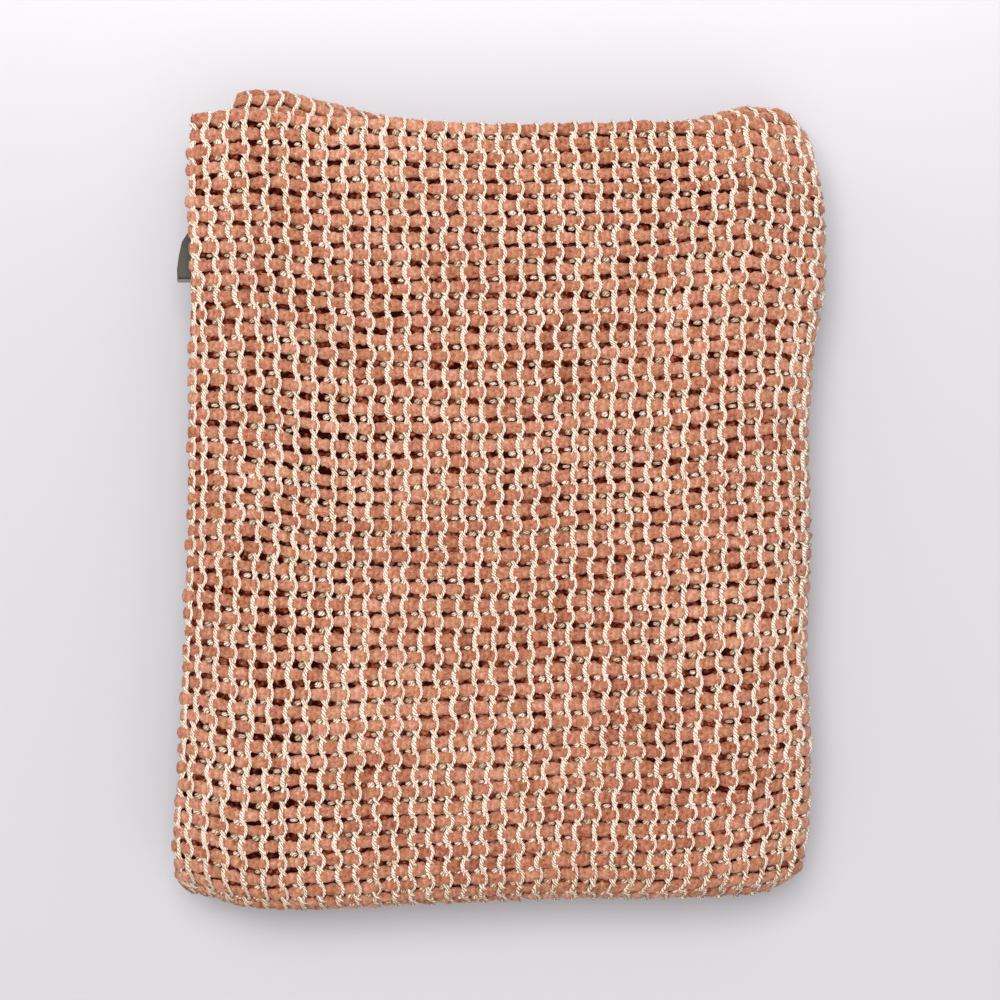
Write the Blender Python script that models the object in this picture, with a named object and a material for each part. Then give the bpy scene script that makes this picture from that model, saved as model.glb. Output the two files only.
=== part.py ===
"""A chenille throw, folded in four across its width and in four along its length, with its side label.

Metres, +Z up. The packet lies on its lowest ply. +X is its doubled edge, -X the side with the cloth's free
edges and the label, and -Y the side of the two broad folds. The origin is under the middle of its box.

The cloth is one sheet. Across its width it runs as a paper clip does: a top ply, a wide fold, a bottom ply,
a small fold, a third ply, an inner fold and a second ply. That strip of four plies then runs back and forth
along the length, with folds at -Y, +Y and -Y.
"""

import math

import bpy
import numpy as np

# The cloth
FLAT_WIDTH = 1.30
FLAT_LENGTH = 1.66
CLOTH = 0.0032
PLY_PITCH = 0.0048
STRIP_PITCH = 4 * PLY_PITCH
RUNS = 4

# The folded packet: where the folds turn, before the outlines are applied
TOP_FREE_EDGE_X = -0.167
SMALL_FOLD_X = -0.160
WIDE_FOLD_X = 0.158
FRONT_FOLD_Y = -0.1966
BACK_FOLD_Y = 0.1863
TOP_END_Y = 0.2013
PLY_STAGGER = 0.0025

# Stations of the mesh
PANEL_X = (-0.143, -0.124, -0.105, -0.075, -0.010, 0.060, 0.115, 0.140)
PANEL_Y = (-0.155, -0.095, -0.025, 0.045, 0.115, 0.155)
WIDE_FOLD_STEPS = 6
SMALL_FOLD_STEPS = 4
LENGTH_FOLD_STEPS = 6

# Plan outline of every ply: how far each side edge lies outside its straight line, by y
SIDE_OUTLINE = {
    "y":     (-0.214, -0.206, -0.179, -0.136, -0.082, -0.028, 0.037, 0.080, 0.118, 0.161, 0.189, 0.205),
    "left":  (0.002, 0.008, 0.009, 0.0055, 0.0035, 0.001, 0.000, -0.001, -0.001, 0.000, 0.000, -0.001),
    "right": (-0.012, -0.002, 0.001, 0.002, -0.0005, 0.002, 0.0006, 0.0035, 0.0093, 0.009, 0.004, -0.0005),
}

# Outline of the two ends and the three lengthwise folds, top one first: how far each lies towards +Y, by x,
# and how far the strip is shifted there at its left and right edges
TURN_X = (-0.165, -0.140, -0.120, -0.090, -0.060, -0.025, 0.035, 0.080, 0.110, 0.135, 0.160)
TURNS = (
    {"name": "top end", "left": 0.000, "right": 0.000,
     "y": (0.0065, 0.0075, 0.0065, 0.0035, 0.002, 0.000, 0.000, 0.000, 0.002, 0.0045, 0.000)},
    {"name": "upper front fold", "left": 0.000, "right": 0.000,
     "y": (0.000, -0.0062, -0.0078, -0.0072, -0.0052, -0.0037, -0.0012, -0.0012, -0.0007, -0.0002, 0.003)},
    {"name": "back fold", "left": 0.0165, "right": -0.003,
     "y": (0.012, 0.020, 0.020, 0.012, 0.0055, 0.002, 0.000, 0.000, 0.005, 0.012, 0.010)},
    {"name": "lower front fold", "left": 0.003, "right": -0.003,
     "y": (0.006, -0.001, -0.002, -0.001, 0.000, 0.001, 0.003, 0.001, -0.001, -0.001, 0.004)},
    {"name": "bottom end", "left": 0.004, "right": -0.004,
     "y": (-0.006, -0.004, -0.005, -0.006, -0.004, -0.002, -0.003, -0.005, -0.006, -0.005, -0.008)},
)

# How far the top surface sinks near each side
RIGHT_SINK = 0.0110
LEFT_SINK_FRONT = 0.0100
LEFT_SINK_BACK = 0.0020
FRONT_SINK = 0.0030
BACK_SINK = 0.0030
SINK_REACH = 0.042
UNEVEN = 0.0008
UNEVEN_WAVE_X = 0.135
UNEVEN_WAVE_Y = 0.175

# The soft trough that runs down the left of the top
TROUGH = {
    "y":     (-0.200, -0.180, -0.145, -0.105, -0.055, -0.028, 0.027, 0.065, 0.125, 0.160),
    "x":     (-0.132, -0.131, -0.123, -0.127, -0.113, -0.111, -0.113, -0.124, -0.129, -0.132),
    "depth": (0.0005, 0.0030, 0.0035, 0.0030, 0.0045, 0.0050, 0.0045, 0.0025, 0.0015, 0.0000),
    "reach": (0.020, 0.018, 0.018, 0.019, 0.026, 0.028, 0.026, 0.020, 0.018, 0.018),
}

# The label: where it lies along the top ply's edge, and how far its fold stands out past that edge
LABEL_FRONT_Y = 0.1172
LABEL_BACK_Y = 0.1432
LABEL_OUT = {
    "y":   (0.1172, 0.1232, 0.1296, 0.1372, 0.1432),
    "out": (0.0070, 0.0078, 0.0073, 0.0051, 0.0010),
}
LABEL_THICKNESS = 0.0010
LABEL_GAP = 0.0003
LABEL_DROOP = 0.0022
LABEL_DROOP_REACH = 0.013
LABEL_STEPS = 8
LABEL_ACROSS_STEPS = 6
LABEL_NOSE_STEPS = 4

# Moves the middle of the packet's box onto the origin
CENTRE_X = 0.0003
CENTRE_Y = 0.0011

STRIP_LOW = (PLY_PITCH - CLOTH) / 2
HEIGHT = RUNS * STRIP_PITCH - 2 * STRIP_LOW

COLOURS = {
    "throw": {"base": (0.56, 0.22, 0.135, 1.0), "roughness": 0.95},
    "label": {"base": (0.115, 0.095, 0.072, 1.0), "roughness": 0.75},
}


def smooth_step(value):
    value = np.clip(value, 0.0, 1.0)
    return value * value * (3 - 2 * value)


def arc(centre, radius, steps, side, start):
    """Points and outward directions of a half turn about a centre, without its two ends.

    side says whether the fold bulges towards + or -, and start whether it begins above or below the centre.
    """
    rows = []
    for step in range(1, steps):
        angle = math.pi * step / steps
        out = (side * math.sin(angle), start * math.cos(angle))
        rows.append((centre[0] + radius * out[0], centre[1] + radius * out[1], out[0], out[1]))
    return rows


def across_stations():
    """The cloth's section across its width: x, height in the strip, and the direction its face points in."""
    top = 1.5 * PLY_PITCH
    second = 0.5 * PLY_PITCH
    panel = WIDE_FOLD_X - SMALL_FOLD_X
    folds = math.pi * (top + second + second)
    second_free_edge_x = WIDE_FOLD_X - (FLAT_WIDTH - folds - 2 * panel - (WIDE_FOLD_X - TOP_FREE_EDGE_X))
    ends = (SMALL_FOLD_X, *PANEL_X, WIDE_FOLD_X)
    rows = [(x, top, 0.0, 1.0) for x in (TOP_FREE_EDGE_X, *ends)]
    rows += arc((WIDE_FOLD_X, 0.0), top, WIDE_FOLD_STEPS, 1, 1)
    rows += [(x, -top, 0.0, -1.0) for x in reversed(ends)]
    rows += arc((SMALL_FOLD_X, -PLY_PITCH), second, SMALL_FOLD_STEPS, -1, -1)
    rows += [(x, -second, 0.0, 1.0) for x in ends]
    inner_fold = arc((WIDE_FOLD_X, 0.0), second, SMALL_FOLD_STEPS, 1, -1)
    rows += [(x, s, -out_x, -out_s) for x, s, out_x, out_s in inner_fold]
    rows += [(x, second, 0.0, -1.0) for x in reversed(ends) if x > second_free_edge_x]
    rows.append((second_free_edge_x, second, 0.0, -1.0))
    return np.array(rows), second_free_edge_x


def run_height(run):
    """Height of the middle of a strip above the surface it lies on; run 0 is the top one."""
    return (RUNS - run - 0.5) * STRIP_PITCH - STRIP_LOW


def length_stations():
    """The strip's section along its length: y, z, the direction of its face, and the turns passed."""
    radius = STRIP_PITCH / 2
    back = BACK_FOLD_Y
    front = FRONT_FOLD_Y
    used = (TOP_END_Y - front) + 2 * (back - front) + 3 * math.pi * radius
    bottom_end_y = front + FLAT_LENGTH - used
    stations = (
        (TOP_END_Y, back, *reversed(PANEL_Y), front),
        (front, *PANEL_Y, back),
        (back, *reversed(PANEL_Y), front),
        (front, *PANEL_Y, back, bottom_end_y),
    )
    rows = []
    for run, places in enumerate(stations):
        up = 1.0 if run % 2 == 0 else -1.0
        for y in places:
            passed = run + abs(y - places[0]) / abs(places[-1] - places[0])
            rows.append((y, run_height(run), 0.0, up, passed))
        if run == RUNS - 1:
            break
        centre = (places[-1], (run_height(run) + run_height(run + 1)) / 2)
        side = -1 if run % 2 == 0 else 1
        for y, z, ny, nz in arc(centre, radius, LENGTH_FOLD_STEPS, side, 1):
            rows.append((y, z, up * ny, up * nz, run + 1.0))
    return np.array(rows)


def turn_values(passed, column):
    """A column of the table of turns at a place along the length, from the turns on either side."""
    values = np.array([turn[column] for turn in TURNS])
    first = np.clip(np.floor(passed).astype(int), 0, RUNS - 1)
    share = smooth_step(passed - first)
    return values[first] * (1 - share) + values[first + 1] * share


def end_shift(passed, x):
    """How far a point moves along y because of the outline of the turns before and after it."""
    first = np.clip(np.floor(passed).astype(int), 0, RUNS - 1)
    share = passed - first
    outlines = np.stack([np.interp(x, TURN_X, turn["y"]) for turn in TURNS])
    before = np.take_along_axis(outlines, first[None], 0)[0]
    after = np.take_along_axis(outlines, first[None] + 1, 0)[0]
    return before * (1 - share) ** 2 + after * share**2


def sink(x, y):
    """How far the top surface lies below its full height."""
    right_edge = WIDE_FOLD_X + np.interp(y, SIDE_OUTLINE["y"], SIDE_OUTLINE["right"])
    left_edge = SMALL_FOLD_X - np.interp(y, SIDE_OUTLINE["y"], SIDE_OUTLINE["left"])
    to_front = smooth_step((BACK_FOLD_Y - y) / (BACK_FOLD_Y - FRONT_FOLD_Y))
    left_sink = LEFT_SINK_BACK + (LEFT_SINK_FRONT - LEFT_SINK_BACK) * to_front
    depth = RIGHT_SINK * np.clip((x - right_edge) / SINK_REACH + 1, 0, 1.25) ** 2
    depth = depth + left_sink * np.clip((left_edge - x) / SINK_REACH + 1, 0, 1.25) ** 2
    depth = depth + FRONT_SINK * np.clip((FRONT_FOLD_Y - y) / SINK_REACH + 1, 0, 1.25) ** 2
    depth = depth + BACK_SINK * np.clip((y - BACK_FOLD_Y) / SINK_REACH + 1, 0, 1.25) ** 2
    trough = {key: np.interp(y, TROUGH["y"], TROUGH[key]) for key in ("x", "depth", "reach")}
    depth = depth + trough["depth"] * np.exp(-(((x - trough["x"]) / trough["reach"]) ** 2))
    waves = np.sin(2 * np.pi * x / UNEVEN_WAVE_X + 1.0) * np.cos(2 * np.pi * y / UNEVEN_WAVE_Y + 0.5)
    return depth + UNEVEN * (1 + waves)


def settled(x, s, rows):
    """Takes points of the strip, x along it and s through it, to their place in the settled packet."""
    y = rows[..., 0] + s * rows[..., 2]
    z = rows[..., 1] + s * rows[..., 3]
    passed = rows[..., 4]
    x, y, z, s, passed = np.broadcast_arrays(x, y, z, s, passed)
    share = np.clip((x - SMALL_FOLD_X) / (WIDE_FOLD_X - SMALL_FOLD_X), -0.1, 1.1)
    left = turn_values(passed, "left") - np.interp(y, SIDE_OUTLINE["y"], SIDE_OUTLINE["left"])
    right = turn_values(passed, "right") + np.interp(y, SIDE_OUTLINE["y"], SIDE_OUTLINE["right"])
    moved_x = x + left * (1 - share) ** 2 + right * share**2
    at_end = smooth_step(1 - 8 * np.minimum(passed, RUNS - passed))
    moved_y = y + end_shift(passed, moved_x) - PLY_STAGGER * at_end * (1.5 - s / PLY_PITCH)
    moved_z = z * (1 - sink(moved_x, moved_y) / HEIGHT)
    return np.stack([moved_x - CENTRE_X, moved_y - CENTRE_Y, moved_z], axis=-1)


def slab(face, back):
    """One closed mesh from the two sides of a sheet, each a grid of points, with its rim between them."""
    across, along = face.shape[:2]
    count = across * along
    number = np.arange(count).reshape(across, along)
    corner = number[:-1, :-1], number[1:, :-1], number[1:, 1:], number[:-1, 1:]
    quads = np.stack(corner, axis=-1).reshape(-1, 4)
    border = np.concatenate([number[:-1, 0], number[-1, :-1], number[:0:-1, -1], number[0, :0:-1]])
    following = np.roll(border, -1)
    rim = np.stack([border, following, following + count, border + count], axis=-1)
    faces = np.concatenate([quads[:, ::-1], quads + count, rim])
    points = np.concatenate([face.reshape(-1, 3), back.reshape(-1, 3)])
    return points, faces


def add_object(name, points, faces):
    mesh = bpy.data.meshes.new(name)
    mesh.from_pydata(points.tolist(), [], faces.tolist())
    mesh.validate()
    mesh.shade_smooth()
    mesh.set_sharp_from_angle(angle=math.radians(40))
    material = bpy.data.materials.new(name)
    material.use_nodes = True
    shader = material.node_tree.nodes["Principled BSDF"]
    shader.inputs["Base Color"].default_value = COLOURS[name]["base"]
    shader.inputs["Roughness"].default_value = COLOURS[name]["roughness"]
    shader.inputs["Metallic"].default_value = 0.0
    mesh.materials.append(material)
    obj = bpy.data.objects.new(name, mesh)
    bpy.context.scene.collection.objects.link(obj)
    return obj


def make_throw():
    across, _ = across_stations()
    rows = length_stations()[None, :, :]
    sides = []
    for offset in (CLOTH / 2, -CLOTH / 2):
        x = (across[:, 0] + offset * across[:, 2])[:, None]
        s = (across[:, 1] + offset * across[:, 3])[:, None]
        sides.append(settled(x, s, rows))
    points, faces = slab(*sides)
    return add_object("throw", points, faces)


def make_label():
    """A ribbon folded flat at its outer end, held at the second ply's free edge, and pulled askew."""
    _, root_x = across_stations()
    half = LABEL_THICKNESS / 2
    share = np.linspace(0, 1, LABEL_STEPS + 1)
    turn = np.linspace(0, math.pi / 2, LABEL_NOSE_STEPS + 1)
    root = root_x - LABEL_GAP
    sides = []
    for up in (1, -1):
        grid = []
        for y in np.linspace(LABEL_FRONT_Y, LABEL_BACK_Y, LABEL_ACROSS_STEPS + 1):
            tip = TOP_FREE_EDGE_X - np.interp(y, LABEL_OUT["y"], LABEL_OUT["out"])
            body = root + (tip + half - root) * share[:-1]
            nose = tip + half - half * np.sin(turn)
            x = np.concatenate([body, nose[:-1]])
            droop = LABEL_DROOP * smooth_step((SMALL_FOLD_X - x) / LABEL_DROOP_REACH)
            height = np.concatenate([np.full(len(body), half), half * np.cos(turn[:-1])])
            s = PLY_PITCH / 2 - droop + up * height
            passed = (TOP_END_Y - y) / (TOP_END_Y - FRONT_FOLD_Y)
            grid.append(settled(x, s, np.array([y, run_height(0), 0.0, 1.0, passed])))
        sides.append(np.array(grid))
    points, faces = slab(sides[0].transpose(1, 0, 2), sides[1].transpose(1, 0, 2))
    return add_object("label", points, faces)


def main():
    for obj in list(bpy.data.objects):
        bpy.data.objects.remove(obj)
    make_throw()
    make_label()


main()
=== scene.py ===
"""The looks of a folded chenille throw: its yarns and cords, laid on the folds of the cloth, and its label.

The cloth is woven flat in u, across its width, and v, along its length. place() takes a point of the flat
cloth, and a height above its middle, to where it lies in the folded packet. Metres, +Z up.
"""

import math

import bpy
import mathutils
import numpy as np
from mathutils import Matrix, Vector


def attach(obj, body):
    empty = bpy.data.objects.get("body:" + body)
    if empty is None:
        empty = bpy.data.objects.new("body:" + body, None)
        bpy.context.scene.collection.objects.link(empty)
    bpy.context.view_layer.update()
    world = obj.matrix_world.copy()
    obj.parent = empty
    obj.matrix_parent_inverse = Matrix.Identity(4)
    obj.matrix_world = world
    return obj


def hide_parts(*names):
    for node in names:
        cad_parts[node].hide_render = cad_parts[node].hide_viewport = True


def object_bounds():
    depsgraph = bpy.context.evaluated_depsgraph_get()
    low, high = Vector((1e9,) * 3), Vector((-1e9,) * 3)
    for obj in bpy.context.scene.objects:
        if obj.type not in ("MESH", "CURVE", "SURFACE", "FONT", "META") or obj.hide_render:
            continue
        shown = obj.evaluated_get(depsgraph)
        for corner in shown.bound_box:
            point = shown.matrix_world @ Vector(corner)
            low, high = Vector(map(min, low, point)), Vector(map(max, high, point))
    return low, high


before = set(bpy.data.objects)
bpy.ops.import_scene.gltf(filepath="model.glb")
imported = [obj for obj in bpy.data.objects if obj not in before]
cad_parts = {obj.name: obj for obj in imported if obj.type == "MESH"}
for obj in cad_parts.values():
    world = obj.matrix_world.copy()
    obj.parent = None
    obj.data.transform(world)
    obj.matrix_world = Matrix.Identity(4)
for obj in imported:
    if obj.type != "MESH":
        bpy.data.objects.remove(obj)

CAD_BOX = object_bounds()

# The cloth and its folds, as in the part. Within END_REACH of a run its ends are staggered from ply to ply.
FLAT_WIDTH = 1.30
FLAT_LENGTH = 1.66
CLOTH = 0.0032
PLY_PITCH = 0.0048
STRIP_PITCH = 4 * PLY_PITCH
RUNS = 4
TOP_FREE_EDGE_X = -0.167
SMALL_FOLD_X = -0.160
WIDE_FOLD_X = 0.158
FRONT_FOLD_Y = -0.1966
BACK_FOLD_Y = 0.1863
TOP_END_Y = 0.2013
PLY_STAGGER = 0.0025
END_REACH = 0.125

# How far each side edge of every ply lies outside its straight line, by y
SIDE_OUTLINE = {
    "y":     (-0.214, -0.206, -0.179, -0.136, -0.082, -0.028, 0.037, 0.080, 0.118, 0.161, 0.189, 0.205),
    "left":  (0.002, 0.008, 0.009, 0.0055, 0.0035, 0.001, 0.000, -0.001, -0.001, 0.000, 0.000, -0.001),
    "right": (-0.012, -0.002, 0.001, 0.002, -0.0005, 0.002, 0.0006, 0.0035, 0.0093, 0.009, 0.004, -0.0005),
}

# The two ends and the three lengthwise folds, top one first: how far each lies towards +Y, by x, and how far
# the strip is shifted there at its left and right edges
TURN_X = (-0.165, -0.140, -0.120, -0.090, -0.060, -0.025, 0.035, 0.080, 0.110, 0.135, 0.160)
TURNS = (
    {"name": "top end", "left": 0.000, "right": 0.000,
     "y": (0.0065, 0.0075, 0.0065, 0.0035, 0.002, 0.000, 0.000, 0.000, 0.002, 0.0045, 0.000)},
    {"name": "upper front fold", "left": 0.000, "right": 0.000,
     "y": (0.000, -0.0062, -0.0078, -0.0072, -0.0052, -0.0037, -0.0012, -0.0012, -0.0007, -0.0002, 0.003)},
    {"name": "back fold", "left": 0.0165, "right": -0.003,
     "y": (0.012, 0.020, 0.020, 0.012, 0.0055, 0.002, 0.000, 0.000, 0.005, 0.012, 0.010)},
    {"name": "lower front fold", "left": 0.003, "right": -0.003,
     "y": (0.006, -0.001, -0.002, -0.001, 0.000, 0.001, 0.003, 0.001, -0.001, -0.001, 0.004)},
    {"name": "bottom end", "left": 0.004, "right": -0.004,
     "y": (-0.006, -0.004, -0.005, -0.006, -0.004, -0.002, -0.003, -0.005, -0.006, -0.005, -0.008)},
)

# How far the top surface sinks near each side, and the low waves in it
RIGHT_SINK = 0.0110
LEFT_SINK_FRONT = 0.0100
LEFT_SINK_BACK = 0.0020
FRONT_SINK = 0.0030
BACK_SINK = 0.0030
SINK_REACH = 0.042
SINK_MOST = 1.25
UNEVEN = 0.0008
UNEVEN_WAVE_X = 0.135
UNEVEN_WAVE_Y = 0.175
UNEVEN_PHASE_X = 1.0
UNEVEN_PHASE_Y = 0.5

# The soft trough that runs down the left of the top
TROUGH = {
    "y":     (-0.200, -0.180, -0.145, -0.105, -0.055, -0.028, 0.027, 0.065, 0.125, 0.160),
    "x":     (-0.132, -0.131, -0.123, -0.127, -0.113, -0.111, -0.113, -0.124, -0.129, -0.132),
    "depth": (0.0005, 0.0030, 0.0035, 0.0030, 0.0045, 0.0050, 0.0045, 0.0025, 0.0015, 0.0000),
    "reach": (0.020, 0.018, 0.018, 0.019, 0.026, 0.028, 0.026, 0.020, 0.018, 0.018),
}

# Moves the middle of the packet's box onto the origin
CENTRE_X = 0.0003
CENTRE_Y = 0.0011

# How the routes of the cloth are laid: steps in a half turn, how far they run on past the cloth's ends, and
# how far past its sides a strip still follows their outline, as a share of its width
FOLD_STEPS = 24
SPARE = 0.02
PAST_SIDE = 0.1

STRIP_LOW = (PLY_PITCH - CLOTH) / 2
HEIGHT = RUNS * STRIP_PITCH - 2 * STRIP_LOW
TOP_PLY = 1.5 * PLY_PITCH
SECOND_PLY = 0.5 * PLY_PITCH
TURN_RADIUS = STRIP_PITCH / 2
TURN_STRETCH = (TURN_RADIUS + TOP_PLY) / TURN_RADIUS
TURN_LENGTH = math.pi * TURN_RADIUS * TURN_STRETCH

# The weave: its columns of cords, the outermost a little further in, and its rows of yarn, with gaps that
# are wide and narrow by turns. A cord stands a jog to one side of its column at one row and to the other
# side at the next.
COLUMNS = 133
EDGE_COLUMN = -0.0010
EDGE_COLUMN_IN = 0.0030
FIRST_ROW = -0.0012
ROW_PITCH = 0.0087
GAP_UNEVEN = 0.015
JOG = 0.00150
COLUMN_PITCH = (FLAT_WIDTH - 2 * EDGE_COLUMN) / (COLUMNS - 1)

# At the cloth's first edge: cords nearer to it than EDGE_CORD_SHOWN go under the rows, and cords and knots
# keep at least EDGE_ROUND and EDGE_GAP from it. At the other edge a yarn's end is at least EDGE_ROUND long.
EDGE_CORD_SHOWN = 0.0018
EDGE_ROUND = 0.0006
EDGE_GAP = 0.0019

# A yarn: half its width and height where it is fullest, what is left of them where a cord ties it, how it
# swells from tie to tie, how square that makes it from above, and how uneven its thickness and its pile are
YARN_HALF_WIDTH = 0.0035
YARN_HALF_HEIGHT = 0.0025
PINCH_WIDTH = 0.46
PINCH_HEIGHT = 0.45
SWELL = 0.9
BOXY = 0.5
YARN_UNEVEN = 0.08
YARN_LUMPS = 0.07
PILE_ROUGH = 0.00042

# A yarn's end at an edge: what is left of its thickness, how far ends stand out and how unevenly, and, where
# the first cords lie under it, how it closes before its first barrel and how that barrel swells
EDGE_END = 0.50
EDGE_OUT = 0.9
EDGE_JITTER = 0.0013
EDGE_CLOSE = 0.0001
EDGE_TIP = -0.3
EDGE_SWELL = 0.45

# How light a yarn is, how this changes over short and long stretches, what is left of it where the yarn is
# tied, darkened there with painted shade in the crease the cord pinches, and its grain from point to point
SHADE_LEVEL = 0.5
SHADE_SHORT = 0.22
SHADE_LONG = 0.18
TIED_PAINTED_SHADE = 0.60
TONE_ROUGH = 0.10

# The cords over the rows: half their width and height, how much thinner they are on the right, how
# uneven they are, how thick their knots are, their heights over a row, in a gap and at the edge,
# how squarely they bend and rise, how far knots stray in jogs, and how far apart their plies' ridges lie
CORD_HALF_WIDTH = 0.00118
CORD_HALF_HEIGHT = 0.00095
CORD_UNEVEN = 0.15
CORD_VARIES = 0.16
CORD_KNOT = 1.25
CORD_OVER = 0.0019
CORD_IN_GAP = 0.0008
CORD_UNDER = -0.0010
CORD_BEND = 0.7
CORD_RISE = 0.5
GAP_DRIFT = 0.3
PLY_LAY_MM = 1.9

# The cords under the rows, which come up in the gaps: half their width, their height as a share of that,
# how low they lie under a row, and how much less they are twisted
GROUND_HALF_WIDTH = 0.00135
GROUND_FLAT = 0.8
GROUND_LOW = -0.0016
GROUND_TWIST = 0.35

# The bits of cord beside the knots: which of them show, how far from the knot they start and end, their
# height and half thickness, their shape from end to end, how much they vary, and how much darker they are in
# the wide gaps
SPECK_SHOWN = -0.30
SPECK_SPAN = (0.0054, 0.0018)
SPECK_HEIGHT = 0.0006
SPECK_HALF = 0.0014
SPECK_DROP = 0.0014
SPECK_PROFILE = {
    "share": (0.00, 0.25, 0.70, 1.00),
    "sunk":  (0.70, 0.10, 0.00, 1.00),
    "thick": (0.50, 0.95, 1.00, 0.50),
}
SPECK_LENGTH_VARIES = 0.22
SPECK_THICKNESS_VARIES = 0.35
SPECK_TONE_VARIES = 0.3
SPECK_TAN = 1.4
SPECK_SIDES = 5

# How light the cords are over the rows and under them, how this changes, and how much painted shade
# greys them round the front fold, where the cloth turns down from the light, within a reach of its middle
OVER_TONE = 0.5
UNDER_TONE = 0.35
TONE_CHANGE = 0.5
FRONT_PAINTED_SHADE = 1.6
FRONT_PAINTED_SHADE_REACH = 0.045

# How far rows, columns and single cords stray, and how cords are tucked round the first and the last row
ROW_WANDER = 0.0009
ROW_JITTER = 0.0006
COLUMN_WANDER = 0.0008
CORD_JITTER = 0.0006
HEM_REACH = 0.0009
HEM_TUCK = 0.0018

# Smooth random changes: over how many rows each takes place, over how many columns or metres, and its seed.
# They repeat after LATTICE steps. The rough pile of each piece has a seed of its own, SEED_STEP apart.
WAVERS = {
    "column bend": (7, 3, 11),
    "column sway": (19, 9, 12),
    "cord place": (1, 1, 13),
    "row bend": (4, 0.035, 21),
    "row sway": (13, 0.11, 22),
    "row place": (1, 0.012, 23),
    "first end": (1, 1, 31),
    "last end": (1, 1, 32),
    "yarn thickness": (1, 0.008, 33),
    "yarn lumps": (1, 0.0021, 36),
    "short shade": (1, 0.010, 34),
    "long shade": (5, 0.05, 35),
    "cord thickness": (1, 1, 41),
    "tone over rows": (2, 1, 42),
    "tone under rows": (1, 1, 43),
    "knot place": (1, 1, 44),
    "speck shown": (1, 1, 45),
    "speck thickness": (1, 1, 46),
    "speck length": (1, 1, 47),
    "speck tone": (1, 1, 48),
    "fullness": (6, 0.05, 51),
}
LATTICE = 61
SEED_STEP = 7919

# Where rows and columns of the top ply drift from their straight lines: each drift's middle in u and v, how
# far it reaches each way, and by how much it moves them, rows along v and columns along u
ROW_DRIFTS = (
    ((0.335, 0.390), (0.120, 0.100), -0.0070),
    ((0.335, 0.200), (0.085, 0.090), -0.0058),
    ((0.030, 0.190), (0.045, 0.085), -0.0052),
    ((0.020, 0.390), (0.050, 0.050), 0.0048),
    ((0.130, 0.185), (0.100, 0.050), 0.0035),
    ((0.280, 0.065), (0.150, 0.075), -0.0042),
    ((0.280, -0.020), (0.150, 0.045), 0.0027),
    ((0.180, 0.330), (0.350, 0.065), 0.0028),
    ((0.275, 0.365), (0.040, 0.060), 0.0032),
    ((0.165, 0.408), (0.050, 0.020), -0.0022),
    ((0.170, 0.175), (0.300, 0.035), 0.0014),
    ((0.020, 0.175), (0.045, 0.028), 0.0013),
    ((0.300, 0.165), (0.070, 0.040), 0.0013),
    ((0.170, 0.311), (0.200, 0.032), 0.0011),
    ((0.302, 0.350), (0.025, 0.025), 0.0022),
    ((0.070, 0.185), (0.035, 0.045), 0.0028),
)
COLUMN_DRIFTS = (
    ((0.230, 0.400), (0.110, 0.070), -0.0062),
    ((0.070, 0.020), (0.070, 0.075), -0.0044),
    ((0.240, 0.090), (0.090, 0.030), -0.0018),
    ((0.050, 0.085), (0.060, 0.025), -0.0015),
    ((0.170, 0.240), (0.070, 0.045), -0.0014),
    ((0.305, 0.255), (0.040, 0.040), 0.0020),
    ((0.130, 0.345), (0.150, 0.050), -0.0013),
    ((0.012, -0.020), (0.048, 0.092), -0.0078),
    ((0.305, 0.000), (0.070, 0.040), 0.0034),
    ((0.300, 0.085), (0.045, 0.022), -0.0024),
    ((0.180, 0.120), (0.100, 0.080), 0.0013),
    ((0.325, 0.428), (0.130, 0.014), 0.0080),
    ((0.010, 0.424), (0.100, 0.018), -0.0085),
    ((0.338, 0.200), (0.0125, 10.0), -0.0050),
)

# Where the weave stands open: beside the trough, and in round patches, each with its middle in u and v, its
# reach and how open it is. The cloth inside is darkest, with painted shade, where the weave is open by
# OPEN_DARK or more.
OPEN_TROUGH = 0.14
OPEN_PATCHES = (
    ((0.050, 0.005), 0.055, 0.10),
    ((0.200, 0.000), 0.090, 0.08),
    ((0.088, 0.110), 0.026, 0.08),
    ((0.085, 0.165), 0.026, 0.07),
    ((0.005, 0.190), 0.040, 0.05),
    ((0.170, 0.185), 0.018, 0.08),
    ((0.228, 0.190), 0.022, 0.14),
    ((0.270, 0.275), 0.025, 0.10),
    ((0.262, 0.040), 0.030, 0.06),
    ((0.048, 0.360), 0.034, 0.10),
)
OPEN_UNEVEN = 0.06
OPEN_DARK = 0.12

# How finely the yarns are made. weft: ring places between two cords. cord: stations from one row to the
# next. ground: station, then height and sideways place in jogs, in a wide gap and then in a narrow one. Near
# the first edge a wide gap has the narrow one's heights.
FINE = {
    "weft": (0.0, 0.06, 0.17, 0.33, 0.5, 0.67, 0.83, 0.94), "weft_sides": 9,
    "cord": (-0.38, -0.24, -0.08, 0.08, 0.24, 0.38, 0.5), "cord_sides": 6,
    "ground": (
        (0.00, GROUND_LOW, 0.0, GROUND_LOW, 0.0),
        (0.30, 0.0002, -0.95, 0.0002, 0.60),
        (0.40, 0.0023, -0.50, CORD_IN_GAP, 0.25),
        (0.53, 0.0027, 0.05, CORD_IN_GAP, 0.0),
        (0.66, 0.0023, 0.60, CORD_IN_GAP, -0.20),
        (0.76, 0.0002, 0.95, 0.0002, -0.50),
    ), "ground_sides": 6,
}
MEDIUM = {
    "weft": (0.0, 0.12, 0.5, 0.88), "weft_sides": 8,
    "cord": (-0.30, 0.0, 0.30, 0.5), "cord_sides": 5,
    "ground": (
        (0.0, GROUND_LOW, 0.0, GROUND_LOW, 0.0),
        (0.5, 0.0018, 0.0, CORD_IN_GAP, 0.0),
    ), "ground_sides": 4,
}
COARSE = {
    "weft": (0.0, 0.2, 0.8), "weft_sides": 6,
    "cord": (-0.2, 0.2, 0.5), "cord_sides": 4,
    "ground": (),
}

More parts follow.
